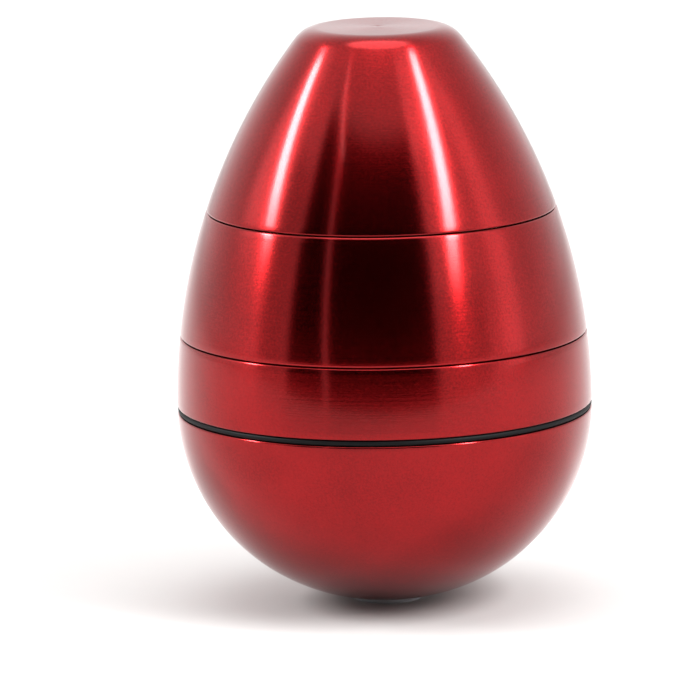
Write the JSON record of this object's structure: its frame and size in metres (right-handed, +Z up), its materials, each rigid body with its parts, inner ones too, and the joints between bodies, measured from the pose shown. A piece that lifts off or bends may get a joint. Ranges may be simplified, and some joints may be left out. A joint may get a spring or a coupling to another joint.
{
  "type": "egg-shaped herb grinder",
  "caption": "Egg-shaped turned aluminium herb grinder: a toothed magnetic lid turns on a grinding chamber, above a screened ring and a round bowl that screw together, on a small foot pad.",
  "frame": {"origin": "centre of the foot pad's underside, which the egg stands on", "axes": "+Z up along the egg's axis, from the foot pad to the flat top; +X and +Y are the same all round the outside, with the drop-hole gap between teeth on +X"},
  "size_m": [0.052, 0.052, 0.0727],
  "materials": {
    "anodised_red": "fine turned, dyed red anodising, satin to glossy",
    "silicone_grey": "soft translucent silicone",
    "rubber_black": "smooth moulded",
    "steel_mesh": "woven stainless wire",
    "spring_steel": "drawn spring wire",
    "magnet_nickel": "nickel plated",
    "nylon": "natural nylon, moulded"
  },
  "bodies": {
    "bowl": {"bowl_shell": "anodised_red", "foot_pad": "silicone_grey"},
    "seal": {"seal_ring": "rubber_black"},
    "sieve": {"sieve_ring": "anodised_red", "sieve_screen": "steel_mesh", "screen_clip": "spring_steel"},
    "chamber_core": {"chamber_magnet": "magnet_nickel"},
    "chamber": {"chamber_ring": "anodised_red", "chamber_tooth_plate": "anodised_red"},
    "glide": {"glide_ring": "nylon"},
    "lid": {"lid_shell": "anodised_red", "lid_tooth_plate": "anodised_red", "lid_magnet": "magnet_nickel"}
  },
  "joints": [
    {"name": "sieve_rise", "type": "slide", "parent": "bowl", "child": "seal", "axis": [0, 0, 1], "range_m": [0, 0.006]},
    {"name": "sieve_turn", "type": "hinge", "parent": "seal", "child": "sieve", "pos_m": [0, 0, 0.0252], "axis": [0, 0, 1], "range_deg": [0, 1080]},
    {"name": "chamber_rise", "type": "slide", "parent": "sieve", "child": "chamber_core", "axis": [0, 0, 1], "range_m": [0, 0.006]},
    {"name": "chamber_turn", "type": "hinge", "parent": "chamber_core", "child": "chamber", "pos_m": [0, 0, 0.034], "axis": [0, 0, 1], "range_deg": [0, 1080]},
    {"name": "lid_lift", "type": "slide", "parent": "chamber", "child": "glide", "axis": [0, 0, 1], "range_m": [0, 0.03]},
    {"name": "lid_turn", "type": "hinge", "parent": "glide", "child": "lid", "pos_m": [0, 0, 0.0497], "axis": [0, 0, 1], "continuous": true}
  ],
  "couplings": [
    {"joint": "sieve_rise", "follows": "sieve_turn", "m_per_rad": 0.0003183},
    {"joint": "chamber_rise", "follows": "chamber_turn", "m_per_rad": 0.0003183}
  ]
}
